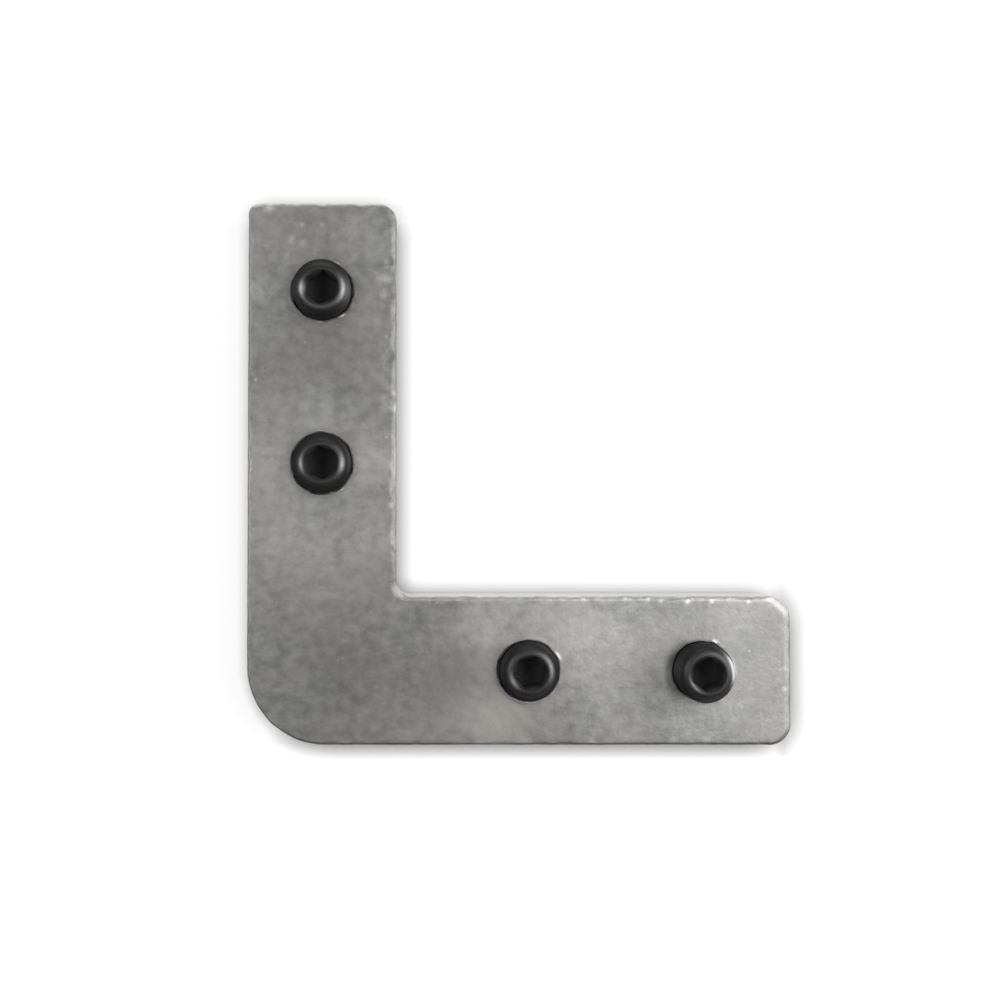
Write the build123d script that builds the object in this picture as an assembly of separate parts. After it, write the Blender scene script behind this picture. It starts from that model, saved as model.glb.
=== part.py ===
from build123d import *
import os
from math import radians, sqrt, tan

# Flat angle connector: an L-shaped steel plate whose legs slide into the grooves of two
# channel profiles and hold them at a right angle. Four set screws in tapped holes are
# driven down through the plate, so that their cup points press on the floors of the
# grooves and the plate is clamped up against their lips.
#
# Sizes are in millimetres. The origin is on the underside, where the centre lines of the
# two legs cross. One leg runs along +X and the other along +Y, and the screws are driven
# from above, +Z.

os.makedirs("parts", exist_ok=True)

# Plate outline, as it was cut from the bar
leg_length = 36.5               # from the outer side of the corner to the end of a leg
leg_width = 10.0
plate_thickness = 3.0
outer_corner_radius = 5.3       # lets the corner clear the mitre of the profiles
inner_corner_radius = 0.9

# The four corners at the legs' ends were ground by hand, and no two are alike
x_end_inside_radius = 1.7
x_end_outside_radius = 1.4
y_end_inside_radius = 1.3
y_end_outside_radius = 0.8

# Edges of the plate
rolled_edge_radius = 0.28       # drawn in where the shear entered, on the upper face
tumbled_edge_bevel = 0.15       # sharp edge knocked off all round the underside

# Tapped holes, on the centre line of each leg
end_to_outer_hole = 6.0
hole_pitch = 11.6
thread_diameter = 4.0
hole_mouth_bevel = 0.05         # the tap has only just broken both mouths

# Set screws
screw_running_clearance = 0.04  # between the crests and the wall, on the radius
screw_length = 4.0
start_bevel = 0.25              # 45 degree thread start at the socket end
rim_dome_width = 0.53           # from the bevel inwards to where the rim is highest
rim_dome_radius = 0.75          # domed by the cold heading, and softened by tumbling
cup_diameter = 2.0              # the sharp ring that bites into the groove's floor
cup_angle = 120.0
point_flank_height = 0.75       # height of the cone from the ring up to the thread
socket_width = 2.0              # across the flats, for a 2 mm key
socket_mouth_diameter = 2.34    # of the countersink that guides the key in
socket_mouth_angle = 90.0
socket_depth = 1.8
socket_floor_angle = 118.0      # left by the drill that opened the socket

# How high each screw's point stands above the underside, as the screws were left
x_inner_point_height = 0.2
x_outer_point_height = 0.8
y_inner_point_height = 0.1
y_outer_point_height = 0.6

# How far each socket's flats are turned from square to the X leg, in degrees
x_inner_socket_turn = -19.0
x_outer_socket_turn = -6.0
y_inner_socket_turn = 11.0
y_outer_socket_turn = -7.0

# Places that follow from the sizes above
half_width = leg_width / 2
leg_end = leg_length - half_width
outer_hole_station = leg_end - end_to_outer_hole
inner_hole_station = outer_hole_station - hole_pitch
hole_radius = thread_diameter / 2
screw_radius = hole_radius - screw_running_clearance

hole_places = {
    "x_inner": (inner_hole_station, 0),
    "x_outer": (outer_hole_station, 0),
    "y_inner": (0, inner_hole_station),
    "y_outer": (0, outer_hole_station),
}


def plate_outline():
    """The L seen from above, with each corner rounded to its own radius."""
    corners = [
        ((-half_width, -half_width), outer_corner_radius),
        ((leg_end, -half_width), x_end_outside_radius),
        ((leg_end, half_width), x_end_inside_radius),
        ((half_width, half_width), inner_corner_radius),
        ((half_width, leg_end), y_end_inside_radius),
        ((-half_width, leg_end), y_end_outside_radius),
    ]
    outline = make_face(Polyline([point for point, _ in corners], close=True))
    for point, radius in corners:
        corner = outline.vertices().sort_by_distance(point)[0]
        outline = fillet(corner, radius)
    return outline


def tapped_hole():
    """What the drill, the tap and the two countersinks take out of the plate."""
    mouth_radius = hole_radius + hole_mouth_bevel
    upper_bevel = plate_thickness - hole_mouth_bevel
    profile = Polyline(
        (0, 0),
        (mouth_radius, 0),
        (hole_radius, hole_mouth_bevel),
        (hole_radius, upper_bevel),
        (mouth_radius, plate_thickness),
        (0, plate_thickness),
        close=True,
    )
    return revolve(Plane.XZ * make_face(profile), Axis.Z)


def angle_plate():
    """The plate: cut to its outline, edges rolled and tumbled, then drilled and tapped."""
    plate = extrude(plate_outline(), plate_thickness)
    plate = fillet(plate.faces().sort_by(Axis.Z)[-1].edges(), rolled_edge_radius)
    plate = chamfer(plate.faces().sort_by(Axis.Z)[0].edges(), tumbled_edge_bevel)
    for place in hole_places.values():
        plate -= Pos(*place) * tapped_hole()
    return plate


def screw_blank():
    """A set screw before its socket is broached, point down, with its ring at height 0."""
    ring_radius = cup_diameter / 2
    cup_depth = ring_radius / tan(radians(cup_angle / 2))
    dome_edge_radius = screw_radius - start_bevel
    dome_drop = rim_dome_radius - sqrt(rim_dome_radius**2 - rim_dome_width**2)
    dome_edge = (dome_edge_radius, screw_length - dome_drop)
    dome_top = (dome_edge_radius - rim_dome_width, screw_length)
    below_dome = Polyline(
        (0, cup_depth),
        (ring_radius, 0),
        (screw_radius, point_flank_height),
        (screw_radius, screw_length - dome_drop - start_bevel),
        dome_edge,
    )
    dome = TangentArc(dome_top, dome_edge, tangent=(1, 0))
    top = Polyline(dome_top, (0, screw_length), (0, cup_depth))
    profile = make_face(below_dome + dome + top)
    return revolve(Plane.XZ * profile, Axis.Z)


def hexagon_socket(turn):
    """The hexagonal hole for the key, with a drilled cone below and a countersink above."""
    hexagon = RegularPolygon(socket_width / 2, 6, major_radius=False, rotation=30)
    flats = Pos(0, 0, screw_length - socket_depth) * extrude(hexagon, socket_depth)

    cone_height = (socket_width / 2) / tan(radians(socket_floor_angle / 2))
    cone_top = screw_length - socket_depth
    cone = Pos(0, 0, cone_top - cone_height / 2) * Cone(0, socket_width / 2, cone_height)

    mouth_radius = socket_mouth_diameter / 2
    sink_depth = mouth_radius / tan(radians(socket_mouth_angle / 2))
    sink = Pos(0, 0, screw_length - sink_depth / 2) * Cone(0, mouth_radius, sink_depth)
    return Rot(0, 0, turn) * (flats + cone + sink)


def set_screw(place, point_height, socket_turn):
    """A cup point set screw in its hole, with its point above the underside."""
    screw = screw_blank() - hexagon_socket(socket_turn)
    return Pos(*place, point_height) * screw


export_step(angle_plate(), "parts/angle_plate.step")

x_inner_screw = set_screw(hole_places["x_inner"], x_inner_point_height, x_inner_socket_turn)
export_step(x_inner_screw, "parts/x_inner_set_screw.step")

x_outer_screw = set_screw(hole_places["x_outer"], x_outer_point_height, x_outer_socket_turn)
export_step(x_outer_screw, "parts/x_outer_set_screw.step")

y_inner_screw = set_screw(hole_places["y_inner"], y_inner_point_height, y_inner_socket_turn)
export_step(y_inner_screw, "parts/y_inner_set_screw.step")

y_outer_screw = set_screw(hole_places["y_outer"], y_outer_point_height, y_outer_socket_turn)
export_step(y_outer_screw, "parts/y_outer_set_screw.step")
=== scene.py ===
import math
import random

import bmesh
import bpy
from mathutils import Matrix, Vector, geometry, kdtree, noise


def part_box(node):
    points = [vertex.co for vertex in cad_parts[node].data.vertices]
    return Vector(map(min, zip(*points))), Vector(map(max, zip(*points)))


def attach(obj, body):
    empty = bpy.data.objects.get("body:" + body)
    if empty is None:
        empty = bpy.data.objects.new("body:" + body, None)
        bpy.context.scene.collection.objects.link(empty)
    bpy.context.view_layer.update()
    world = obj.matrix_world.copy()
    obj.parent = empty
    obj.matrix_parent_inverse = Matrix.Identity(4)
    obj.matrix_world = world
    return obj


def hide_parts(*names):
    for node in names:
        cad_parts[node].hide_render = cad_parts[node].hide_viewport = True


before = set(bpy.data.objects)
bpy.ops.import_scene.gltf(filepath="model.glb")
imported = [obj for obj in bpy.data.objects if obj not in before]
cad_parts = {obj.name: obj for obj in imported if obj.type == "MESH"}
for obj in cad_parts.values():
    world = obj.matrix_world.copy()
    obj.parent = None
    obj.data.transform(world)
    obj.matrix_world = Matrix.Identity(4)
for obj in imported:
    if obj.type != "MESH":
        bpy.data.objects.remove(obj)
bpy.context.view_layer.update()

# The angle plate
# One flat L of zinc-plated steel, sheared from bar and tumbled, so its upper edges are
# drawn in and nicked and its faces are dull and cloudy. Four holes are drilled and
# tapped through it, and the tap has left a low, uneven lip round each mouth.
mm = 0.001
plate_low, plate_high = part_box("angle_plate")
plate_thickness = plate_high.z / mm
leg_width = 10.0
outer_corner_radius = 5.3
inner_corner_radius = 0.9
x_end_outside_radius = 1.4
x_end_inside_radius = 1.7
y_end_inside_radius = 1.3
y_end_outside_radius = 0.8
rolled_edge_width = 0.30
rolled_edge_drop = 0.20
underside_bevel = 0.15

hole_pitch = 11.6
inner_hole_station = 13.9
mouth_radius = 2.05
thread_pitch = 0.7
tapped_crest_radius = 1.715
tapped_thread_depth = 0.305
columns_round_a_thread = 96
rows_per_turn = 8

edge_step = 0.12
upper_face_step = 0.22
underside_step = 0.45


def outline_points():
    """Points round the L in millimetres, counterclockwise, each with its outward normal."""
    low_x, low_y = plate_low.x / mm, plate_low.y / mm
    high_x, high_y = plate_high.x / mm, plate_high.y / mm
    inner_x, inner_y = low_x + leg_width, low_y + leg_width
    corners = [
        (Vector((low_x, low_y)), outer_corner_radius),
        (Vector((high_x, low_y)), x_end_outside_radius),
        (Vector((high_x, inner_y)), x_end_inside_radius),
        (Vector((inner_x, inner_y)), inner_corner_radius),
        (Vector((inner_x, high_y)), y_end_inside_radius),
        (Vector((low_x, high_y)), y_end_outside_radius),
    ]
    points = []
    for number, (corner, radius) in enumerate(corners):
        before, _ = corners[number - 1]
        after, radius_after = corners[(number + 1) % len(corners)]
        arriving = (corner - before).normalized()
        leaving = (after - corner).normalized()
        outwards = 1 if arriving.cross(leaving) > 0 else -1
        centre = corner + (leaving - arriving) * radius

        fewest_steps = 6
        steps = max(fewest_steps, round(radius * math.pi / 2 / edge_step))
        for step in range(steps + 1):
            angle = math.pi / 2 * step / steps
            spoke = arriving * math.sin(angle) - leaving * math.cos(angle)
            points.append((centre + spoke * radius, spoke * outwards))

        run_start = corner + leaving * radius
        run = after - leaving * radius_after - run_start
        steps = round(run.length / edge_step)
        normal = Vector((leaving.y, -leaving.x))
        for step in range(1, steps):
            points.append((run_start + run * (step / steps), normal))
    return points


def rim_profile(normal):
    """Inset and height of each loop of the rim, from the underside to the upper face.

    The edge is drawn in widest on the sides that face +X and +Y. There it is flattened
    towards a bevel, and elsewhere it is a true round.
    """
    wider_to_x, wider_to_y, shallower_to_x = 0.13, 0.07, 0.09
    true_round, flatter_to_x, flatter_to_y = 2.0, 0.6, 0.5
    wall_steps, round_steps = 8, 10
    to_x, to_y = max(0.0, normal.x), max(0.0, normal.y)
    roll = rolled_edge_width + wider_to_x * normal.x + wider_to_y * normal.y
    drop = rolled_edge_drop - shallower_to_x * to_x
    roundness = true_round - flatter_to_x * to_x - flatter_to_y * to_y
    profile = [(underside_bevel, 0.0), (0.0, underside_bevel)]
    wall_top = plate_thickness - drop
    for step in range(1, wall_steps + 1):
        profile.append((0.0, underside_bevel + (wall_top - underside_bevel) * step / wall_steps))
    for step in range(1, round_steps + 1):
        angle = math.pi / 2 * step / round_steps
        across = math.cos(angle) ** (2 / roundness)
        rise = math.sin(angle) ** (2 / roundness)
        profile.append((roll * (1 - across), wall_top + drop * rise))
    return profile


def hole_centres():
    """Centre of each hole in millimetres, on the centre lines of the legs."""
    stations = (inner_hole_station, inner_hole_station + hole_pitch)
    return [Vector((s, 0)) for s in stations] + [Vector((0, s)) for s in stations]


def column_angles():
    """Direction of each column of a thread."""
    return [2 * math.pi * n / columns_round_a_thread for n in range(columns_round_a_thread)]


def circle(centre, radius):
    """Points of a circle, one for each column of a thread."""
    return [centre + Vector((math.cos(a), math.sin(a))) * radius for a in column_angles()]


def fill_face(border, step, ring_radii):
    """Triangles between a border and the mouths of the holes, with a grid of free points."""
    clear_of_rings, clear_of_border, smallest_gap = 0.6 * step, 0.5 * step, 1e-6
    tree = kdtree.KDTree(len(border))
    for number, point in enumerate(border):
        tree.insert(point.to_3d(), number)
    tree.balance()

    points = list(border)
    regions = [list(range(len(border)))]
    for centre in hole_centres():
        start = len(points)
        points += circle(centre, mouth_radius)
        regions.append(list(range(start, len(points))))
        for radius in ring_radii:
            points += circle(centre, radius)

    clear_radius = max([mouth_radius, *ring_radii]) + clear_of_rings
    low = Vector((plate_low.x, plate_low.y)) / mm
    high = Vector((plate_high.x, plate_high.y)) / mm
    inner = low + Vector((leg_width, leg_width))
    for column in range(int((high.x - low.x) / step)):
        for row in range(int((high.y - low.y) / step)):
            shift = 0.5 * (row % 2)
            point = low + Vector(((column + shift) * step, row * step))
            if point.x > inner.x and point.y > inner.y:
                continue
            if min((point - c).length for c in hole_centres()) < clear_radius:
                continue
            near, number, distance = tree.find(point.to_3d())
            inside = (point - near.to_2d()).dot(near_inwards(border, number)) > 0
            if inside and distance > clear_of_border:
                points.append(point)

    filled = geometry.delaunay_2d_cdt(points, [], regions, 0, smallest_gap)
    found, _, triangles, _, _, owners = filled
    return found, [triangle for triangle, owner in zip(triangles, owners) if owner == [0]]


def near_inwards(border, number):
    """Direction into the plate at one point of a counterclockwise border."""
    along = border[(number + 1) % len(border)] - border[number - 1]
    return Vector((-along.y, along.x))


def bridge(mesh, loops):
    """Quads between each loop of vertices and the next one."""
    for lower, upper in zip(loops, loops[1:]):
        for n in range(len(lower)):
            after = (n + 1) % len(lower)
            mesh.faces.new((lower[n], lower[after], upper[after], upper[n]))


def in_metres(work, name):
    """Ends the work on a mesh that was built in millimetres, and gives it a name."""
    bmesh.ops.scale(work, vec=(mm, mm, mm), verts=work.verts)
    mesh = bpy.data.meshes.new(name)
    work.to_mesh(mesh)
    work.free()
    return mesh


def add_object(name, data):
    """An object in the scene, made of a mesh, a lamp or a camera."""
    made = bpy.data.objects.new(name, data)
    bpy.context.collection.objects.link(made)
    return made


def plate_skin():
    """The plate's rim and two faces, with a round opening for each hole."""
    lip_ring_count, lip_ring_step, seam_gap = 8, 0.06, 0.0005
    outline = outline_points()
    mesh = bmesh.new()
    columns = []
    for point, normal in outline:
        profile = rim_profile(normal)
        columns.append([Vector((*(point - normal * inset), height)) for inset, height in profile])
    loops = [[mesh.verts.new(column[n]) for column in columns] for n in range(len(columns[0]))]
    bridge(mesh, loops)

    lip_rings = [mouth_radius + lip_ring_step * (n + 1) for n in range(lip_ring_count)]
    faces = [(loops[0], underside_step, lip_rings[1::3]), (loops[-1], upper_face_step, lip_rings)]
    for loop, step, rings in faces:
        height = loop[0].co.z
        flat, triangles = fill_face([vertex.co.to_2d() for vertex in loop], step, rings)
        placed = [mesh.verts.new((*point, height)) for point in flat]
        for triangle in triangles:
            mesh.faces.new([placed[n] for n in triangle])

    bmesh.ops.remove_doubles(mesh, verts=mesh.verts, dist=seam_gap)
    return in_metres(mesh, "plate_skin")


def feed(tree, socket, value):
    """Links a value into a socket, or sets it there if it is a plain number or colour."""
    if isinstance(value, bpy.types.NodeSocket):
        tree.links.new(value, socket)
    else:
        socket.default_value = value


def calculate(tree, operation, *values):
    """One arithmetic node on sockets or plain numbers. Gives its output socket."""
    node = tree.nodes.new("ShaderNodeMath")
    node.operation = operation
    for socket, value in zip(node.inputs, values):
        feed(tree, socket, value)
    return node.outputs[0]


def add_node(tree, kind, **inputs):
    """A node with some of its inputs linked or set. Underscores stand for spaces."""
    node = tree.nodes.new(kind)
    for name, value in inputs.items():
        feed(tree, node.inputs[name.replace("_", " ")], value)
    return node


def new_tree(name, inputs, outputs, tree_type="GeometryNodeTree"):
    """A node group: each input is (name, type, value) and each output (name, type)."""
    tree = bpy.data.node_groups.new(name, tree_type)
    for label, kind, value in inputs:
        socket = tree.interface.new_socket(label, in_out="INPUT", socket_type=kind)
        if value is not None:
            socket.default_value = value
    for label, kind in outputs:
        tree.interface.new_socket(label, in_out="OUTPUT", socket_type=kind)
    given = tree.nodes.new("NodeGroupInput").outputs
    made = tree.nodes.new("NodeGroupOutput").inputs
    return tree, given, made


def thread_sizes():
    """Inputs of a threaded wall, with the values of a tapped hole."""
    length = "NodeSocketFloat"
    return [
        ("Side", length, -1.0),
        ("Crest Radius", length, tapped_crest_radius * mm),
        ("Thread Depth", length, tapped_thread_depth * mm),
        ("Pitch", length, thread_pitch * mm),
        ("Lead In Turns", length, 0.0),
        ("Lower End", length, 0.0),
        ("Upper End", length, plate_thickness * mm),
        ("Lower Radius", length, mouth_radius * mm),
        ("Upper Radius", length, mouth_radius * mm),
        ("Lower Slope", length, 1.0),
        ("Upper Slope", length, 1.0),
        ("Columns", "NodeSocketInt", columns_round_a_thread),
        ("Rows Per Turn", "NodeSocketInt", rows_per_turn),
    ]


def build_thread_wall():
    """A right-handed thread cut between two bevels, on a screw or in a hole.

    The rows of a grid follow the helix, so that every crest and root lies along a row. Side
    is 1 for a screw and -1 for a hole. Past the two ends the rows close up on one circle.
    """
    tree, given, made = new_tree("thread_wall", thread_sizes(), [("Mesh", "NodeSocketGeometry")])

    def sum_of(*values):
        total = values[0]
        for value in values[1:]:
            total = calculate(tree, "ADD", total, value)
        return total

    def difference(first, second):
        return calculate(tree, "SUBTRACT", first, second)

    def product(first, second):
        return calculate(tree, "MULTIPLY", first, second)

    def ratio(first, second):
        return calculate(tree, "DIVIDE", first, second)

    turns_below, spare_turns = 2.0, 4.0
    half_a_step = 0.5
    height = difference(given["Upper End"], given["Lower End"])
    turns = sum_of(calculate(tree, "CEIL", ratio(height, given["Pitch"])), spare_turns)
    rows = sum_of(product(turns, given["Rows Per Turn"]), 1.0)
    columns = sum_of(given["Columns"], 1.0)
    grid = add_node(tree, "GeometryNodeMeshGrid", Vertices_X=columns, Vertices_Y=rows)

    index = tree.nodes.new("GeometryNodeInputIndex").outputs[0]
    column = calculate(tree, "FLOOR", ratio(sum_of(index, half_a_step), rows))
    row = difference(index, product(column, rows))
    turn = ratio(column, given["Columns"])
    angle = product(turn, 2 * math.pi)

    end_turn = sum_of(ratio(given["Lower End"], given["Pitch"]), given["Lead In Turns"])
    first_turn = difference(calculate(tree, "FLOOR", end_turn), turns_below)
    phase = ratio(sum_of(row, half_a_step), given["Rows Per Turn"])
    climb = difference(sum_of(first_turn, phase, turn), given["Lead In Turns"])
    free_height = product(climb, given["Pitch"])
    floor_height = calculate(tree, "MAXIMUM", free_height, given["Lower End"])
    wall_height = calculate(tree, "MINIMUM", floor_height, given["Upper End"])

    crest_flat, flank_width = 1 / 16, 5 / 16
    from_crest = calculate(tree, "ABSOLUTE", difference(phase, calculate(tree, "ROUND", phase)))
    flank = ratio(difference(from_crest, crest_flat), flank_width)
    overshoot = calculate(tree, "ABSOLUTE", difference(free_height, wall_height))
    past_ends = calculate(tree, "GREATER_THAN", overshoot, 0.0)
    between_ends = difference(1.0, past_ends)
    cut = calculate(tree, "MINIMUM", calculate(tree, "MAXIMUM", flank, 0.0), between_ends)
    crest = product(given["Side"], given["Crest Radius"])
    thread = difference(crest, product(cut, given["Thread Depth"]))

    lower_rise = product(difference(wall_height, given["Lower End"]), given["Lower Slope"])
    lower_bevel = sum_of(product(given["Side"], given["Lower Radius"]), lower_rise)
    upper_rise = product(difference(given["Upper End"], wall_height), given["Upper Slope"])
    upper_bevel = sum_of(product(given["Side"], given["Upper Radius"]), upper_rise)
    bevel = calculate(tree, "MINIMUM", lower_bevel, upper_bevel)
    radius = product(given["Side"], calculate(tree, "MINIMUM", thread, bevel))

    across = product(radius, calculate(tree, "COSINE", angle))
    along = product(radius, calculate(tree, "SINE", angle))
    place = add_node(tree, "ShaderNodeCombineXYZ", X=across, Y=along, Z=wall_height)
    bent = add_node(
        tree, "GeometryNodeSetPosition", Geometry=grid.outputs["Mesh"], Position=place.outputs[0]
    )
    tree.links.new(bent.outputs[0], made["Mesh"])
    return tree


thread_wall = build_thread_wall()
weld_distance = 0.002 * mm


def place_thread_wall(tree, given):
    """The thread wall as a node in a larger tree, fed by that tree's own inputs."""
    wall = tree.nodes.new("GeometryNodeGroup")
    wall.node_tree = thread_wall
    for label, _, _ in thread_sizes():
        tree.links.new(given[label], wall.inputs[label])
    return wall.outputs["Mesh"]


def weld_and_coat(tree, shapes, material):
    """Joins shapes, welds them into one skin and gives it its material."""
    joined = tree.nodes.new("GeometryNodeJoinGeometry")
    for shape in shapes:
        tree.links.new(shape, joined.inputs[0])
    welded = add_node(
        tree, "GeometryNodeMergeByDistance", Geometry=joined.outputs[0], Distance=weld_distance
    )
    coated = add_node(
        tree, "GeometryNodeSetMaterial", Geometry=welded.outputs[0], Material=material
    )
    return coated.outputs[0]


def build_tapped_plate():
    """Puts a tapped wall in each hole of the skin, two holes to a leg, and welds it in."""
    tree, given, made = new_tree(
        "tapped_plate",
        [
            ("Skin", "NodeSocketGeometry", None),
            ("Inner Hole Station", "NodeSocketFloat", inner_hole_station * mm),
            ("Hole Pitch", "NodeSocketFloat", hole_pitch * mm),
            ("Material", "NodeSocketMaterial", None),
            *thread_sizes(),
        ],
        [("Plate", "NodeSocketGeometry")],
    )
    holes_to_a_leg = 2
    index = tree.nodes.new("GeometryNodeInputIndex").outputs[0]
    second_leg = calculate(tree, "GREATER_THAN", index, holes_to_a_leg - 0.5)
    outer_hole = calculate(tree, "MODULO", index, holes_to_a_leg)
    past_inner = calculate(tree, "MULTIPLY", outer_hole, given["Hole Pitch"])
    station = calculate(tree, "ADD", given["Inner Hole Station"], past_inner)
    y = calculate(tree, "MULTIPLY", station, second_leg)
    x = calculate(tree, "SUBTRACT", station, y)
    centre = add_node(tree, "ShaderNodeCombineXYZ", X=x, Y=y)
    points = add_node(
        tree, "GeometryNodePoints", Count=2 * holes_to_a_leg, Position=centre.outputs[0]
    )
    walls = add_node(
        tree,
        "GeometryNodeInstanceOnPoints",
        Points=points.outputs[0],
        Instance=place_thread_wall(tree, given),
    )
    real = add_node(tree, "GeometryNodeRealizeInstances", Geometry=walls.outputs[0])
    shapes = (given["Skin"], real.outputs[0])
    tree.links.new(weld_and_coat(tree, shapes, given["Material"]), made["Plate"])
    return tree


def grow(name, start, tree, material, **sizes):
    """Runs a geometry node tree on a start mesh and gives the plain mesh that it makes."""
    seed = add_object(name, start)
    modifier = seed.modifiers.new(name, "NODES")
    modifier.node_group = tree
    sockets = {item.name: item.identifier for item in tree.interface.items_tree}
    modifier[sockets["Material"]] = material
    for label, value in sizes.items():
        modifier[sockets[label.replace("_", " ")]] = value
    evaluated = seed.evaluated_get(bpy.context.evaluated_depsgraph_get())
    mesh = bpy.data.meshes.new_from_object(evaluated)
    seed.modifiers.remove(modifier)
    bpy.data.objects.remove(seed)
    bpy.data.meshes.remove(start)
    mesh.name = name
    return mesh


def close_up(mesh, sharp_angle):
    """Turns all faces outwards, shades them smooth and marks the true corners sharp."""
    work = bmesh.new()
    work.from_mesh(mesh)
    bmesh.ops.dissolve_degenerate(work, edges=work.edges, dist=weld_distance / 4)
    bmesh.ops.recalc_face_normals(work, faces=work.faces)
    for face in work.faces:
        face.smooth = True
    work.to_mesh(mesh)
    work.free()
    mesh.set_sharp_from_angle(angle=math.radians(sharp_angle))


def cloud(tree, place, scale, detail, roughness=0.5):
    """Soft noise at a number of lumps to the millimetre."""
    node = add_node(
        tree, "ShaderNodeTexNoise", Vector=place, Scale=scale, Detail=detail, Roughness=roughness
    )
    return node.outputs["Fac"]


def spread(tree, value, low, high):
    """Stretches a mask so that low becomes 0 and high becomes 1."""
    node = add_node(tree, "ShaderNodeMapRange", Value=value, From_Min=low, From_Max=high)
    return node.outputs["Result"]


def build_tumbled_skin():
    """Clouds, blotches, grain and bright specks of tumbled and plated steel, as masks."""
    number = "NodeSocketFloat"
    masks = ("Clouds", "Blotches", "Grain", "Scratches", "Specks")
    tree, given, made = new_tree(
        "tumbled_skin",
        [
            ("Place", "NodeSocketVector", (0, 0, 0)),
            ("Cloud Scale", number, 0.22),
            ("Blotch Scale", number, 1.3),
            ("Grain Scale", number, None),
            ("Scratch Scale", number, 2.2),
            ("Speck Scale", number, 0.9),
        ],
        [(mask, number) for mask in masks],
        "ShaderNodeTree",
    )
    noise_range = (0.3, 0.7)
    scratch_edge, speck_edge, speck_choice = (0.60, 0.74), (0.12, 0.03), (0.84, 0.86)
    scratch_directions = ((0.35, 0.22), (-0.9, 0.30), (1.9, 0.25))
    clouds, blotches, grain = (
        spread(tree, cloud(tree, given["Place"], given[scale], detail), *noise_range)
        for scale, detail in (("Cloud Scale", 2.0), ("Blotch Scale", 3.0), ("Grain Scale", 1.0))
    )
    scratches = 0.0
    for turn, stretch in scratch_directions:
        along = add_node(
            tree,
            "ShaderNodeMapping",
            Vector=given["Place"],
            Rotation=(0, 0, turn),
            Scale=(stretch, 1.0, 1.0),
            Location=(turn * 7, 0, 0),
        )
        streaks = cloud(tree, along.outputs[0], given["Scratch Scale"], 2.0, 0.7)
        scratches = calculate(tree, "MAXIMUM", spread(tree, streaks, *scratch_edge), scratches)
    speck_scale = given["Speck Scale"]
    cells = add_node(tree, "ShaderNodeTexVoronoi", Vector=given["Place"], Scale=speck_scale)
    near = spread(tree, cells.outputs["Distance"], *speck_edge)
    picked = add_node(tree, "ShaderNodeSeparateColor", Color=cells.outputs["Color"])
    chosen = spread(tree, picked.outputs["Red"], *speck_choice)
    specks = calculate(tree, "MULTIPLY", near, chosen)
    for mask, value in zip(masks, (clouds, blotches, grain, scratches, specks)):
        tree.links.new(value, made[mask])
    return tree


tumbled_skin = build_tumbled_skin()


def skin_masks(tree, grain_scale):
    """The masks of the tumbled skin, laid over the object in millimetres."""
    coordinates = tree.nodes.new("ShaderNodeTexCoord").outputs["Object"]
    place = add_node(tree, "ShaderNodeMapping", Vector=coordinates, Scale=(1 / mm,) * 3)
    skin = tree.nodes.new("ShaderNodeGroup")
    skin.node_tree = tumbled_skin
    skin.inputs["Grain Scale"].default_value = grain_scale
    tree.links.new(place.outputs[0], skin.inputs["Place"])
    return skin.outputs


def weighted_sum(tree, start, *parts):
    """A plain number plus a share of each value. Gives an output socket."""
    total = start
    for value, share in parts:
        total = calculate(tree, "MULTIPLY_ADD", value, share, total)
    return total


def mixed_colour(tree, amount, first, second):
    """One colour for amount 0 and another for amount 1."""
    node = tree.nodes.new("ShaderNodeMix")
    node.data_type = "RGBA"
    factor, colour_at_0, colour_at_1 = node.inputs[0], node.inputs[6], node.inputs[7]
    feed(tree, factor, amount)
    feed(tree, colour_at_0, first)
    feed(tree, colour_at_1, second)
    return node.outputs[2]


def new_material(name):
    """An empty node material with its Principled shader."""
    material = bpy.data.materials.new(name)
    material.use_nodes = True
    return material, material.node_tree, material.node_tree.nodes["Principled BSDF"]


def painted_mask(tree, name):
    """A value that the mesh itself carries at each vertex."""
    node = tree.nodes.new("ShaderNodeAttribute")
    node.attribute_name = name
    return node.outputs["Fac"]


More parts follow.
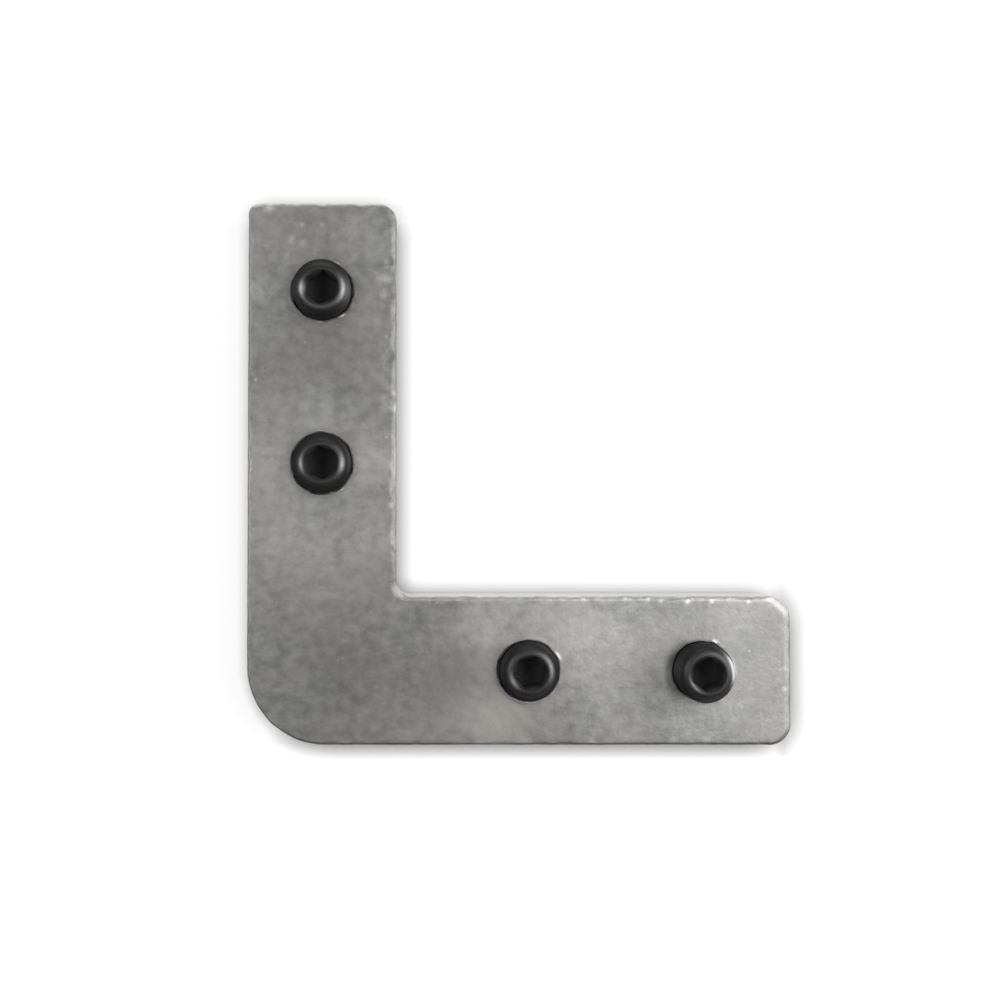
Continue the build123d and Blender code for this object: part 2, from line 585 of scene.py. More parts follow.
def zinc_plating():
    """Dull zinc on steel: cloudy grey, faintly warm in places, bright where rubbed, with painted
    light, shade, sheen and glints.
    """
    material, tree, surface = new_material("zinc_plating")
    clouds, blotches, grain, scratches, specks = skin_masks(tree, grain_scale=4.5)

    dark_zinc = (0.205, 0.205, 0.201, 1)
    pale_zinc = (0.410, 0.409, 0.402, 1)
    warm_zinc = (0.345, 0.326, 0.308, 1)
    bright_zinc = (0.78, 0.78, 0.77, 1)
    cloud_warmth, speck_brightness = 0.30, 0.3
    smooth_roughness, blotch_roughness = 0.38, 0.10
    shares = ((clouds, 0.33), (blotches, 0.38), (grain, 0.12), (scratches, 0.15))
    mottle = weighted_sum(tree, 0.0, *shares)
    grey = mixed_colour(tree, mottle, dark_zinc, pale_zinc)
    warmth = calculate(tree, "MULTIPLY_ADD", clouds, cloud_warmth, painted_mask(tree, "warmth"))
    tinted = mixed_colour(tree, warmth, grey, warm_zinc)
    # The tone layer scales the colour: random patches mixed with painted light, painted shade and
    # light on the edges and walls, and darker rings round the mouths.
    patch = calculate(tree, "ADD", painted_mask(tree, "tone_and_painted_light"), 1.0)
    toned = add_node(tree, "ShaderNodeVectorMath", Vector=tinted)
    toned.operation = "SCALE"
    tree.links.new(patch, toned.inputs["Scale"])
    # The rub layer holds real rubbing, burr tops painted bright, painted sheen on the +Y edges
    # and walls, and painted glints; the random specks are added to it.
    bright_specks = calculate(tree, "MULTIPLY", specks, speck_brightness)
    rubbed = calculate(tree, "MAXIMUM", painted_mask(tree, "rub_and_painted_sheen"), bright_specks)
    colour = mixed_colour(tree, rubbed, toned.outputs[0], bright_zinc)
    tree.links.new(colour, surface.inputs["Base Color"])

    roughness = calculate(tree, "MULTIPLY_ADD", blotches, blotch_roughness, smooth_roughness)
    tree.links.new(roughness, surface.inputs["Roughness"])
    surface.inputs["Metallic"].default_value = 0.9
    height = calculate(tree, "ADD", calculate(tree, "MULTIPLY", grain, 0.35), blotches)
    bump = add_node(tree, "ShaderNodeBump", Height=height, Strength=0.6, Distance=0.012 * mm)
    tree.links.new(bump.outputs[0], surface.inputs["Normal"])
    return material


def bump_shape(distance, reach):
    """A smooth hump: 1 at the middle, and next to nothing at twice its reach."""
    return math.exp(-((distance / reach) ** 2))


# Burrs left round the mouths: hole, direction and spread in degrees, height and width
tap_burrs = [
    ("x_outer", 2, 14, 0.05, 0.14),
    ("x_outer", 66, 6, 0.05, 0.12),
    ("x_outer", 205, 16, 0.02, 0.10),
    ("x_inner", 26, 10, 0.05, 0.12),
    ("x_inner", 250, 20, 0.02, 0.10),
    ("y_outer", 66, 9, 0.05, 0.12),
    ("y_outer", -53, 7, 0.05, 0.11),
    ("y_outer", -92, 3, 0.03, 0.08),
    ("y_inner", -54, 3, 0.055, 0.09),
    ("y_inner", 90, 6, 0.03, 0.10),
]
hole_names = ["x_inner", "x_outer", "y_inner", "y_outer"]

# How far each mouth is chipped out of round towards +X, +Y, -X and -Y
mouth_chips = {
    "x_inner": (0.04, -0.01, 0.14, 0.01),
    "x_outer": (-0.05, -0.07, -0.06, -0.05),
    "y_inner": (0.11, 0.06, 0.05, 0.11),
    "y_outer": (0.06, -0.04, 0.11, -0.08),
}

# Knocks on the upper edges: place, reach and depth
edge_knocks = [
    (4.5, 27.5, 0.22, 0.07),
    (4.4, 26.3, 0.55, 0.09),
    (4.4, 25.2, 0.35, 0.07),
    (4.5, 21.1, 0.35, 0.06),
    (4.4, 20.4, 0.18, 0.06),
    (4.4, 18.4, 0.25, 0.05),
    (4.5, 17.5, 0.40, 0.06),
    (3.5, 31.0, 0.40, 0.05),
]

# Painted glints on spots and stretches of the upper edges, and bright specks near the top of the
# Y leg: place, reach and strength
painted_glints_and_specks = [
    (4.5, 26.3, 0.35, 0.4),
    (4.75, 17.6, 0.28, 0.4),
    (4.75, 18.6, 0.20, 0.3),
    (4.62, 11.1, 0.18, 0.5),
    (-3.6, 31.2, 0.30, 0.8),
    (4.15, 31.4, 0.22, 0.5),
    (4.6, 31.1, 0.22, 0.5),
    (4.9, 30.6, 0.22, 0.4),
    (24.6, 4.65, 0.16, 0.9),
    (26.2, 4.66, 0.13, 0.8),
    (28.7, 4.66, 0.13, 0.8),
    (31.1, 0.2, 0.15, 0.14),
    (31.1, -1.2, 0.16, 0.22),
    (-1.4, 30.0, 0.16, 0.35),
    (0.0, 30.0, 0.16, 0.30),
    (0.7, 29.2, 0.16, 0.25),
    (-2.1, 29.0, 0.18, 0.35),
    (-1.3, 28.8, 0.20, 0.35),
    (-2.4, 27.9, 0.16, 0.30),
]


def random_knocks():
    """Smaller knocks all along the upper edge, from tumbling against other plates."""
    count, least_inset, inset_range = 60, 0.1, 0.25
    least_reach, reach_range, greatest_depth = 0.15, 0.35, 0.03
    chance = random.Random(11)
    outline = outline_points()
    knocks = []
    for _ in range(count):
        point, normal = outline[chance.randrange(len(outline))]
        spot = point - normal * (least_inset + inset_range * chance.random())
        reach = least_reach + reach_range * chance.random()
        knocks.append((spot.x, spot.y, reach, greatest_depth * chance.random()))
    return knocks


def face_dents():
    """Shallow dents in the upper face: place, reach and depth."""
    count, inner_sides = 60, 4.5
    least_reach, reach_range, greatest_depth = 0.4, 0.9, 0.012
    chance = random.Random(23)
    dents = []
    while len(dents) < count:
        x = chance.uniform(plate_low.x, plate_high.x) / mm
        y = chance.uniform(plate_low.y, plate_high.y) / mm
        if x < inner_sides or y < inner_sides:
            reach = least_reach + reach_range * chance.random()
            dents.append((x, y, reach, greatest_depth * chance.random()))
    return dents


def chip_at(number, direction):
    """How far a mouth is chipped out of round in one direction, clear of the screw."""
    unevenness, lumps_round, hole_spacing, furthest_in = 0.07, 2.6, 7.0, -0.06
    right, far, left, near = mouth_chips[hole_names[number]]
    along = (right if direction.x > 0 else left) * direction.x ** 2
    across = (far if direction.y > 0 else near) * direction.y ** 2
    place = Vector((*(direction * lumps_round), number * hole_spacing))
    return max(along + across + unevenness * noise.noise(place), furthest_in)


def lip_at(number, angle, beyond_mouth):
    """Height of the tap's lip at one direction round a hole."""
    lip_height, slow_share, quick_share = 0.006, 0.010, 0.012
    slow_lumps, quick_lumps, hole_spacing = 1.5, 6, 5.0
    lip_place, lip_width, burr_place = 0.10, 0.10, 0.08
    x, y, seed = math.cos(angle), math.sin(angle), number * hole_spacing
    slow = noise.noise(Vector((x * slow_lumps, y * slow_lumps, seed)))
    quick = noise.noise(Vector((x * quick_lumps, y * quick_lumps, seed)))
    height = lip_height + slow_share * slow + quick_share * quick
    height *= bump_shape(beyond_mouth - lip_place, lip_width)
    for name, direction, spread_angle, rise, width in tap_burrs:
        if name == hole_names[number]:
            turn = math.remainder(angle - math.radians(direction), 2 * math.pi)
            share = bump_shape(turn, math.radians(spread_angle))
            height += rise * share * bump_shape(beyond_mouth - burr_place, width)
    return height


# Lighter and darker patches of the upper face, partly its own tone and partly painted light for
# how the lamps fall across it: place, reach and strength
face_tone_and_light_patches = [
    (29.0, -3.2, 1.6, 0.05),
    (27.5, -2.4, 1.1, 0.20),
    (25.0, -3.6, 1.8, 0.34),
    (25.5, 3.4, 1.8, -0.06),
    (19.0, 3.2, 3.0, 0.34),
    (19.4, -3.3, 2.0, 0.16),
    (15.0, 3.3, 3.0, 0.24),
    (18.2, 0.0, 2.5, 0.26),
    (10.8, 3.2, 1.8, 0.38),
    (11.2, -3.4, 2.4, 0.34),
    (22.4, -0.5, 1.1, -0.12),
    (22.2, -2.4, 1.0, -0.10),
    (30.2, 3.0, 1.4, -0.16),
    (9.0, 0.0, 2.2, -0.20),
    (4.6, 2.2, 1.8, 0.13),
    (2.0, 0.5, 3.6, -0.20),
    (-1.5, -2.2, 1.8, 0.07),
    (-2.0, -3.0, 2.4, -0.06),
    (4.2, 19.7, 1.0, 0.09),
    (4.0, 13.6, 1.2, 0.10),
    (-4.6, 19.7, 0.6, 0.06),
    # Painted light that lifts the x_outer screw's shadow off the face to its left
    (23.2, -0.1, 0.5, 0.46),
    (0.0, 10.0, 3.0, 0.22),
    (3.6, 8.7, 1.6, 0.16),
    (-3.5, 8.7, 1.6, 0.14),
    (3.6, 14.1, 1.8, 0.30),
    (-3.6, 14.1, 1.8, 0.13),
    (-3.7, 19.6, 1.6, -0.11),
    (0.0, 17.2, 1.8, 0.22),
    (0.0, 21.9, 3.4, -0.24),
    (-4.3, 25.5, 1.0, 0.15),
    (-0.2, 29.0, 1.6, -0.14),
    (3.4, 29.3, 1.5, 0.28),
]


# Stains of a faintly warm tint: place, reach and strength
warm_stains = [
    (12.0, -3.4, 2.6, 0.8),
    (8.3, -1.5, 1.6, 0.5),
    (2.8, 5.9, 1.0, 0.7),
    (17.3, 3.6, 1.5, 0.4),
]


def flat_noise(flat, scale, seed):
    """Smooth noise over the plate, with a number of lumps to the millimetre."""
    return noise.noise(Vector((flat.x * scale, flat.y * scale, seed)))


def near_marks(tree, marks):
    """Each vertex of the upper side near each mark, with its share of the mark's depth."""
    reaches_to_edge = 2.2
    for x, y, reach, depth in marks:
        edge = reach * reaches_to_edge
        for _, number, away in tree.find_range((x, y, plate_thickness), edge):
            yield number, depth * bump_shape(away, reach)


def painted_values(mesh, *names):
    """A new value at each vertex for each name, to be read by the finish."""
    for name in names:
        mesh.attributes.new(name, "FLOAT", "POINT")
    return [mesh.attributes[name].data for name in names]


def wear_plate(mesh):
    """Gives the skin its unevenness, marks where it is rubbed bright or stained, and paints light
    and shade on it.
    """
    unworn_height, lowest_place = 1.5, (0, 0, -100)
    swell_centre, swell_reach, swell_height = Vector((25.3, 0.2)), 3.2, 0.10
    wave_height, wave_scale, ripple_height, ripple_scale = 0.02, 0.13, 0.004, 0.6
    coarse_scale, fine_scale, fine_share = 1.1, 3.1, 0.6
    edge_unevenness, more_to_y = 0.035, 0.025
    mouth_reach, chip_reach, mouth_dark_reach, mouth_dark_depth = 0.6, 0.3, 0.35, 0.14
    full_burr, bright_from, mouth_margin, clear_of_mouth = 0.05, 0.4, 0.02, 0.1
    # Painted shade on the rolled edges that face -Y, and on the Y leg's edges that face +X.
    # Painted light and painted sheen on the upright walls, most where edges and walls face +Y.
    roll_painted_shade = {"right": -0.55, "near": -0.78}
    wall_painted_light = {"far": 0.45, "all": 0.2}
    edge_painted_sheen = {"far": 0.65, "all": 0.35}
    lean_of_a_wall, full_right_lean = 1 / 3, 0.4
    centres = hole_centres()
    rub_and_painted_sheen, tone_and_painted_light, warmth = painted_values(mesh, "rub_and_painted_sheen", "tone_and_painted_light", "warmth")
    tree = kdtree.KDTree(len(mesh.vertices))
    tilts = [vertex.normal.copy() for vertex in mesh.vertices]
    moves = []
    for vertex, tilt in zip(mesh.vertices, tilts):
        place = vertex.co / mm
        flat = place.to_2d()
        share = max(0.0, place.z - unworn_height) / (plate_thickness - unworn_height)
        moves.append(Vector((0, 0, 0)))
        tree.insert(place if share else lowest_place, vertex.index)
        if min((flat - c).length for c in centres) > mouth_radius + clear_of_mouth:
            upright = 1 - min(1.0, abs(tilt.z) / lean_of_a_wall)
            roll_shade = roll_painted_shade["near"] * max(0.0, -tilt.y)
            if flat.y > leg_width / 2:
                right_lean = min(1.0, max(0.0, tilt.x / full_right_lean))
                roll_shade += roll_painted_shade["right"] * right_lean
            wall_light = wall_painted_light["far"] * max(0.0, tilt.y) + wall_painted_light["all"] * upright
            tone_and_painted_light[vertex.index].value = roll_shade * (1 - upright) + wall_light
            far_sheen, wall_sheen = edge_painted_sheen["far"] * max(0.0, tilt.y), edge_painted_sheen["all"] * upright
            rub_and_painted_sheen[vertex.index].value = max(far_sheen, wall_sheen)
        if not share:
            continue
        wave = wave_height * flat_noise(flat, wave_scale, seed=3.7)
        ripple = ripple_height * flat_noise(flat, ripple_scale, seed=9.1)
        swell = swell_height * bump_shape((flat - swell_centre).length, swell_reach)
        moves[-1].z += (wave + ripple + swell) * share

        number = min(range(len(centres)), key=lambda n: (flat - centres[n]).length)
        spoke = flat - centres[number]
        beyond_mouth = spoke.length - mouth_radius
        # Darker round each mouth
        tone_and_painted_light[vertex.index].value -= mouth_dark_depth * bump_shape(beyond_mouth, mouth_dark_reach)
        if beyond_mouth > mouth_reach:
            slope = 2 * max(0.0, tilt.z) * math.sqrt(max(0.0, 1 - tilt.z ** 2))
            unevenness = flat_noise(flat, coarse_scale, seed=1.3)
            unevenness += fine_share * flat_noise(flat, fine_scale, seed=6.3)
            most = edge_unevenness + more_to_y * max(0.0, tilt.y)
            moves[-1] += tilt * (most * slope * unevenness)
        elif beyond_mouth > -mouth_margin:
            angle = math.atan2(spoke.y, spoke.x)
            lip = lip_at(number, angle, beyond_mouth)
            moves[-1].z += lip * share
            # The tops of the burrs are painted bright, as burnished metal and as painted glint
            rub_and_painted_sheen[vertex.index].value = min(1.0, max(0.0, lip / full_burr - bright_from))
            spoke.normalize()
            shift = chip_at(number, spoke) * bump_shape(beyond_mouth, chip_reach)
            moves[-1] += (spoke * shift).to_3d()
    tree.balance()

    for n, depth in near_marks(tree, edge_knocks + random_knocks()):
        moves[n] -= tilts[n] * depth
    for n, depth in near_marks(tree, face_dents()):
        moves[n].z -= depth
    for n, strength in near_marks(tree, face_tone_and_light_patches):
        tone_and_painted_light[n].value += strength
    for n, strength in near_marks(tree, warm_stains):
        warmth[n].value += strength
    for n, strength in near_marks(tree, painted_glints_and_specks):
        rub_and_painted_sheen[n].value = max(rub_and_painted_sheen[n].value, strength)
    for vertex, move in zip(mesh.vertices, moves):
        vertex.co += move * mm


plate_mesh = grow("angle_plate_skin", plate_skin(), build_tapped_plate(), zinc_plating())
wear_plate(plate_mesh)
close_up(plate_mesh, sharp_angle=38)
plate = add_object("angle_plate_skin", plate_mesh)
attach(plate, "plate")
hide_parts("angle_plate")

# The set screws
# Four M4 set screws of black-oxide steel, thread rolled, with a hexagon socket at the upper
# end and a cup point at the lower one. Each stands in its tapped hole at its own height and
# is turned its own way, as it was left.
screw_length = 4.0
screw_crest_radius = 1.96
screw_thread_depth = 0.39
start_bevel = 0.25
rim_crest_radius = 1.18
rim_dome_radius = 0.75
rim_outer_radius = screw_crest_radius - start_bevel
ring_radius = 1.0
cup_slope = math.tan(math.radians(30))
flank_height = 0.75
socket_apothem = 1.0
socket_mouth_radius = 1.16
socket_mouth_drop = 0.02
socket_depth = 1.8
socket_floor_slope = math.tan(math.radians(31))

# How far each screw was turned, in degrees
screws = {
    "x_inner_set_screw": -19.0,
    "x_outer_set_screw": -6.0,
    "y_inner_set_screw": 11.0,
    "y_outer_set_screw": -7.0,
}

# Painted highlights on each screw's rim, and a painted glint on the x_outer screw's shoulder, set
# where the lamps would shine: direction and spread in degrees, distance from the axis and width,
# strength
rim_painted_highlights = {
    "x_inner_set_screw": [(207, 22, 1.26, 0.17, 0.45), (10, 34, 1.42, 0.20, 0.10)],
    "x_outer_set_screw": [(218, 30, 1.19, 0.12, 0.50), (13, 24, 1.77, 0.15, 2.4)],
    "y_inner_set_screw": [(186, 20, 1.32, 0.19, 0.27), (-4, 20, 1.28, 0.22, 0.25)],
    "y_outer_set_screw": [
        (182, 20, 1.22, 0.24, 0.55),
        (-4, 28, 1.50, 0.24, 0.20),
        (-92, 40, 1.32, 0.10, 0.08),
    ],
}


def hexagon_radius(angle):
    """Distance from the axis to the socket's flat wall in one direction."""
    from_flat = (angle + math.pi / 6) % (math.pi / 3) - math.pi / 6
    return socket_apothem / math.cos(from_flat)


def rim_height(radius):
    """Height of the domed rim at a distance from the axis."""
    aside = max(0.0, radius - rim_crest_radius)
    return screw_length - rim_dome_radius + math.sqrt(rim_dome_radius ** 2 - aside ** 2)


def mouth_floor(radius):
    """Height of the countersink that leads into the socket."""
    return screw_length - socket_mouth_drop - (socket_mouth_radius - radius)


def socket_end_rings():
    """Rings of the upper end, from the bevel over the rim and down into the socket."""
    rings = []
    rim_steps, wall_steps = 12, 5
    drill_radius, pole_share = socket_apothem * 0.98, 0.02
    for step in range(rim_steps + 1):
        radius = rim_outer_radius + (rim_crest_radius - rim_outer_radius) * step / rim_steps
        rings.append(lambda _, r=radius: (r, rim_height(r)))
    rings.append(lambda _: (socket_mouth_radius, mouth_floor(socket_mouth_radius)))

    floor = screw_length - socket_depth
    for step in range(wall_steps + 1):
        share = step / wall_steps
        rings.append(
            lambda a, share=share: (
                hexagon_radius(a),
                mouth_floor(hexagon_radius(a)) * (1 - share) + floor * share,
            )
        )
    rings.append(lambda _: (drill_radius, floor))
    tip = floor - drill_radius * socket_floor_slope
    rings.append(lambda _: (drill_radius * pole_share, tip))
    return rings


def cup_end_rings():
    """Rings of the cup point, from its centre out to the sharp ring."""
    rings = []
    for share in (0.02, 0.25, 0.5, 0.75, 0.93, 1.0):
        radius = ring_radius * share
        rings.append(lambda _, r=radius: (r, (ring_radius - r) * cup_slope))
    return rings


def screw_ends():
    """The two ends of a screw, open where the thread goes between them."""
    mesh = bmesh.new()
    for rings in (cup_end_rings(), socket_end_rings()):
        loops = []
        for ring in rings:
            loop = []
            for angle in column_angles():
                radius, height = ring(angle)
                x, y = radius * math.cos(angle), radius * math.sin(angle)
                loop.append(mesh.verts.new((x, y, height)))
            loops.append(loop)
        bridge(mesh, loops)
        first_radius, _ = rings[0](0)
        last_radius, _ = rings[-1](0)
        mesh.faces.new(loops[0] if first_radius < last_radius else loops[-1])
    return in_metres(mesh, "screw_ends")


def build_threaded_screw():
    """Winds the thread between the two ends of a screw and welds it to them."""
    tree, given, made = new_tree(
        "threaded_screw",
        [
            ("Ends", "NodeSocketGeometry", None),
            ("Material", "NodeSocketMaterial", None),
            *thread_sizes(),
        ],
        [("Screw", "NodeSocketGeometry")],
    )
    shapes = (given["Ends"], place_thread_wall(tree, given))
    tree.links.new(weld_and_coat(tree, shapes, given["Material"]), made["Screw"])
    return tree


def black_oxide():
    """Black oxide: dull in the thread, half gloss on the rubbed rim with painted highlights,
    painted shade in the socket.
    """
    material, tree, surface = new_material("black_oxide")
    _, blotches, grain, _, _ = skin_masks(tree, grain_scale=9.0)
    rubbed = painted_mask(tree, "rubbed")
    painted_highlight = painted_mask(tree, "painted_highlight")
    socket_painted_shade = painted_mask(tree, "socket_painted_shade")
    thread_black = (0.036, 0.036, 0.037, 1)
    rim_black = (0.063, 0.063, 0.065, 1)
    highlight_white = (0.85, 0.85, 0.84, 1)
    black, bluish_white = (0, 0, 0, 1), (1, 1, 1.04, 1)
    thread_roughness, smoother_rim, duller_socket, grain_roughness = 0.46, -0.06, 0.35, 0.05
    patchy = calculate(tree, "MULTIPLY_ADD", blotches, 0.3, 0.8)
    uneven = calculate(tree, "MULTIPLY", rubbed, patchy)
    oxide_colour = mixed_colour(tree, uneven, thread_black, rim_black)
    # The painted highlights on the rim, in near-white
    open_colour = mixed_colour(tree, painted_highlight, oxide_colour, highlight_white)
    # Painted shade in the socket, grey from its layer
    socket_shade_grey = painted_mask(tree, "socket_shade_grey")
    socket_shade_colour = mixed_colour(tree, socket_shade_grey, black, bluish_white)
    colour = mixed_colour(tree, socket_painted_shade, open_colour, socket_shade_colour)
    tree.links.new(colour, surface.inputs["Base Color"])
    shares = ((rubbed, smoother_rim), (socket_painted_shade, duller_socket), (grain, grain_roughness))
    roughness = weighted_sum(tree, thread_roughness, *shares)
    tree.links.new(roughness, surface.inputs["Roughness"])
    matt_highlight = calculate(tree, "MULTIPLY", calculate(tree, "MULTIPLY", painted_highlight, painted_highlight), 0.8)
    metallic = calculate(tree, "SUBTRACT", 1.0, calculate(tree, "MAXIMUM", socket_painted_shade, matt_highlight))
    tree.links.new(metallic, surface.inputs["Metallic"])
    bump = add_node(tree, "ShaderNodeBump", Height=grain, Strength=0.3, Distance=0.0015 * mm)
    tree.links.new(bump.outputs[0], surface.inputs["Normal"])
    return material


def smooth_share(value, low, high):
    """0 below low, 1 above high, and an even slope between them without corners."""
    share = min(1.0, max(0.0, (value - low) / (high - low)))
    return share * share * (3 - 2 * share)


def mark_wear(mesh, turn, marks):
    """Marks the rubbed rim, the painted highlights on it, and the painted shade in the socket."""
    rubbed, painted_highlight, socket_painted_shade, socket_shade_grey = painted_values(
        mesh, "rubbed", "painted_highlight", "socket_painted_shade", "socket_shade_grey"
    )
    # Greys of the painted shade in the socket: near black at the mouth, lighter on the walls than
    # on the floor, so that the lit floor and the dim walls come out alike
    mouth_grey, wall_grey, floor_grey = 0.007, 0.040, 0.018
    highlight_fade_depths = (0.38, 0.58)
    socket_shade_radii, grey_depths = (1.12, 1.36), (-0.1, 0.3)
    rub_edge_width, tolerance = 0.25, 0.01
    rim_foot = rim_height(rim_outer_radius) - tolerance
    socket_radius = socket_apothem + 0.2
    wall_top = mouth_floor(socket_apothem)
    for vertex in mesh.vertices:
        place = vertex.co / mm
        if place.z < screw_length - socket_depth - socket_apothem:
            continue
        radius = place.to_2d().length
        share = 0.0
        below_rim = smooth_share(rim_foot - place.z, *highlight_fade_depths)
        if below_rim < 1:
            # Painted highlights, faded out below the rim
            angle = math.atan2(place.y, place.x) + math.radians(turn)
            for direction, spread_angle, distance, width, strength in marks:
                aside = math.remainder(angle - math.radians(direction), 2 * math.pi)
                around = bump_shape(aside, math.radians(spread_angle))
                share += strength * around * bump_shape(radius - distance, width)
            share = min(1.0, share) * (1 - below_rim)
            painted_highlight[vertex.index].value = share
        on_rim = radius < rim_outer_radius + tolerance and place.z > rim_foot
        if on_rim or radius < socket_radius:
            rub_edge = rim_outer_radius - rub_edge_width
            rubbed[vertex.index].value = 1 - smooth_share(radius, rub_edge, rim_outer_radius)
            # Painted shade over the socket and the inner slope of the rim, kept off the painted
            # highlights
            inside = 1 - smooth_share(radius, *socket_shade_radii)
            socket_painted_shade[vertex.index].value = inside * (1 - share)
            below_mouth = smooth_share(wall_top - place.z, *grey_depths)
            grey = mouth_grey + (wall_grey - mouth_grey) * below_mouth
            on_floor = radius <= socket_apothem - tolerance
            socket_shade_grey[vertex.index].value = floor_grey if on_floor else grey


oxide = black_oxide()
threaded_screw = build_threaded_screw()
for node, turn in screws.items():
    low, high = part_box(node)
    spin = math.radians(turn)
    crest_into_root = 0.5
    lead = low.z / (thread_pitch * mm) - turn / 360 + crest_into_root
    screw_mesh = grow(
        node + "_threaded",
        screw_ends(),
        threaded_screw,
        oxide,
        Side=1.0,
        Crest_Radius=screw_crest_radius * mm,
        Thread_Depth=screw_thread_depth * mm,
        Lead_In_Turns=lead,
        Upper_End=rim_height(rim_outer_radius) * mm,
        Lower_Radius=ring_radius * mm,
        Upper_Radius=rim_outer_radius * mm,
        Lower_Slope=(screw_crest_radius - ring_radius) / flank_height,
    )
    place = Matrix.Translation(((low.x + high.x) / 2, (low.y + high.y) / 2, low.z))
    mark_wear(screw_mesh, turn, rim_painted_highlights[node])
    screw_mesh.transform(place @ Matrix.Rotation(spin, 4, "Z"))
    close_up(screw_mesh, sharp_angle=32)
    screw = add_object(node + "_threaded", screw_mesh)
    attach(screw, node.replace("_set", ""))
    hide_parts(node)

# The floor, lamps and camera
# A plain white floor under soft window-like light from both sides and from beyond the Y leg,
# and a camera close above the plate, looking almost straight down on it.
floor_mesh = bpy.data.meshes.new("floor")
floor_mesh.from_pydata([(-1, -1, 0), (1, -1, 0), (1, 1, 0), (-1, 1, 0)], [], [(0, 1, 2, 3)])
floor = add_object("floor", floor_mesh)


def seen_directly(tree):
    """1 for rays from the camera and for mirror and glass rays, 0 for the rest."""
    path = tree.nodes.new("ShaderNodeLightPath").outputs
    mirror = calculate(tree, "MAXIMUM", path["Is Glossy Ray"], path["Is Transmission Ray"])
    return calculate(tree, "MAXIMUM", path["Is Camera Ray"], mirror)


def past_edge(tree, coordinate, edge, amount):
    """Rises from 0 to an amount where a coordinate passes one side of the plate."""
    softness = 0.5 * mm
    rise = spread(tree, coordinate, edge - softness, edge + softness)
    return calculate(tree, "MULTIPLY", rise, amount)


def floor_paint():
    """Matt white that keeps the shadows and darkens close to whatever stands on it.

    The shade is widest and deepest past the right end, and weakest past the left side.
    """
    darker = {"right": 1.0, "far": 0.60, "near": 0.33, "left": -0.17}
    least_reach, more_reach, least_depth, more_depth = 1.35 * mm, 1.0 * mm, 1.29, 1.6
    paint_white, lift_strength = (0.25, 0.25, 0.25, 1), 0.84
    material, tree, surface = new_material("floor_paint")
    place = tree.nodes.new("ShaderNodeTexCoord").outputs["Object"]
    across = add_node(tree, "ShaderNodeSeparateXYZ", Vector=place).outputs
    left_way = calculate(tree, "MULTIPLY", across["X"], -1.0)
    near_way = calculate(tree, "MULTIPLY", across["Y"], -1.0)
    right_side = past_edge(tree, across["X"], plate_high.x, darker["right"])
    far_side = past_edge(tree, across["Y"], plate_high.y, darker["far"])
    near_side = past_edge(tree, near_way, -plate_low.y, darker["near"])
    left_side = past_edge(tree, left_way, -plate_low.x, darker["left"])
    outer_side = calculate(tree, "MAXIMUM", right_side, far_side)
    outer_side = calculate(tree, "MAXIMUM", outer_side, near_side)
    outer_side = calculate(tree, "ADD", outer_side, left_side)
    reach = calculate(tree, "MULTIPLY_ADD", outer_side, more_reach, least_reach)
    depth = calculate(tree, "MULTIPLY_ADD", outer_side, more_depth, least_depth)
    lean = add_node(tree, "ShaderNodeCombineXYZ", X=0.0, Y=0.34, Z=0.94).outputs[0]
    shade = add_node(
        tree, "ShaderNodeAmbientOcclusion", Color=(1, 1, 1, 1), Distance=reach, Normal=lean
    )
    shade = calculate(tree, "POWER", shade.outputs["AO"], depth)
    white = mixed_colour(tree, shade, (0, 0, 0, 1), paint_white)
    tree.links.new(white, surface.inputs["Base Color"])
    surface.inputs["Roughness"].default_value = 1.0
    surface.inputs["Specular IOR Level"].default_value = 0.0
    surface.inputs["Emission Color"].default_value = (1, 1, 1, 1)
    lift = calculate(tree, "MULTIPLY", seen_directly(tree), lift_strength)
    lift = calculate(tree, "MULTIPLY", lift, shade)
    tree.links.new(lift, surface.inputs["Emission Strength"])
    return material


floor_mesh.materials.append(floor_paint())


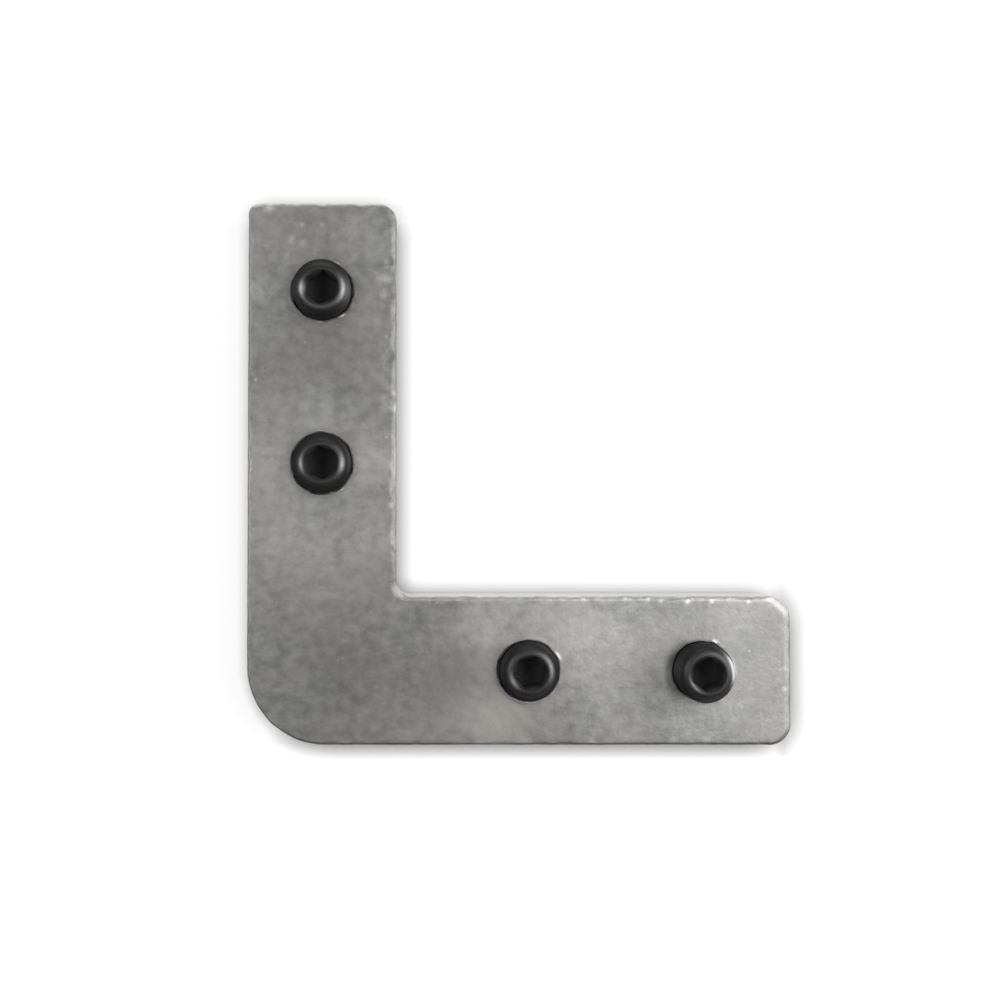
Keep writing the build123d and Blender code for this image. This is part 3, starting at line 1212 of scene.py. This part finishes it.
def studio_world():
    """Soft surroundings: bright beyond the Y leg, fair to the right, dark on the near side.

    The camera sees a white backdrop all round, and mirror rays see it near the horizon.
    """
    plain_level, overhead_level, near_level, right_level = 0.10, 0.36, -0.10, 0.12
    far_level, far_sharpness = 2.6, 12.0
    horizon_edge = (0.30, 0.12)
    world = bpy.data.worlds.new("studio")
    bpy.context.scene.world = world
    world.use_nodes = True
    tree = world.node_tree
    backdrop = tree.nodes["Background"]
    direction = tree.nodes.new("ShaderNodeTexCoord").outputs["Generated"]
    parts = add_node(tree, "ShaderNodeSeparateXYZ", Vector=direction).outputs
    away = calculate(tree, "MAXIMUM", parts["Y"], 0.0)
    near = calculate(tree, "MAXIMUM", calculate(tree, "MULTIPLY", parts["Y"], -1.0), 0.0)
    right = calculate(tree, "MAXIMUM", parts["X"], 0.0)
    overhead = calculate(tree, "MULTIPLY", parts["Z"], parts["Z"])
    far_glow = calculate(tree, "POWER", away, far_sharpness)
    shares = ((overhead, overhead_level), (near, near_level), (right, right_level))
    level = weighted_sum(tree, plain_level, *shares, (far_glow, far_level))
    camera_ray = tree.nodes.new("ShaderNodeLightPath").outputs["Is Camera Ray"]
    horizon = spread(tree, parts["Z"], *horizon_edge)
    background = calculate(tree, "MULTIPLY", seen_directly(tree), horizon)
    background = calculate(tree, "MAXIMUM", background, camera_ray)
    seen = calculate(tree, "MAXIMUM", level, background)
    tree.links.new(seen, backdrop.inputs["Strength"])
    backdrop.inputs["Color"].default_value = (1, 1, 1, 1)


studio_world()


def window(name, place, width, height, power):
    """A soft rectangular lamp that faces the middle of the plate."""
    middle = Vector((0.012, 0.012, 0))
    lamp = bpy.data.lights.new(name, "AREA")
    lamp.shape = "RECTANGLE"
    lamp.size = width
    lamp.size_y = height
    lamp.energy = power
    lamp_object = add_object(name, lamp)
    lamp_object.location = place
    lamp_object.visible_camera = False
    aim = middle - Vector(place)
    lamp_object.rotation_euler = aim.to_track_quat("-Z", "Y").to_euler()


window("right_window", (0.120, 0.030, 0.130), 0.13, 0.12, 0.19)
window("left_window", (-0.100, 0.030, 0.170), 0.09, 0.09, 0.075)

image_width = 1000
focal_pixels = 1145
principal_x, principal_y = 400, 467
camera_data = bpy.data.cameras.new("camera")
camera_data.sensor_width = 36
camera_data.lens = camera_data.sensor_width * focal_pixels / image_width
camera_data.shift_x = (image_width / 2 - principal_x) / image_width
camera_data.shift_y = (principal_y - image_width / 2) / image_width
camera_data.clip_start = 0.001
camera_data.clip_end = 10
camera = add_object("camera", camera_data)
camera.location = (4.8 * mm, 11.9 * mm, 80 * mm)
camera.rotation_euler = (math.radians(1.29), math.radians(-0.34), math.radians(0.07))
bpy.context.scene.camera = camera
bpy.context.scene.view_settings.view_transform = "Standard"
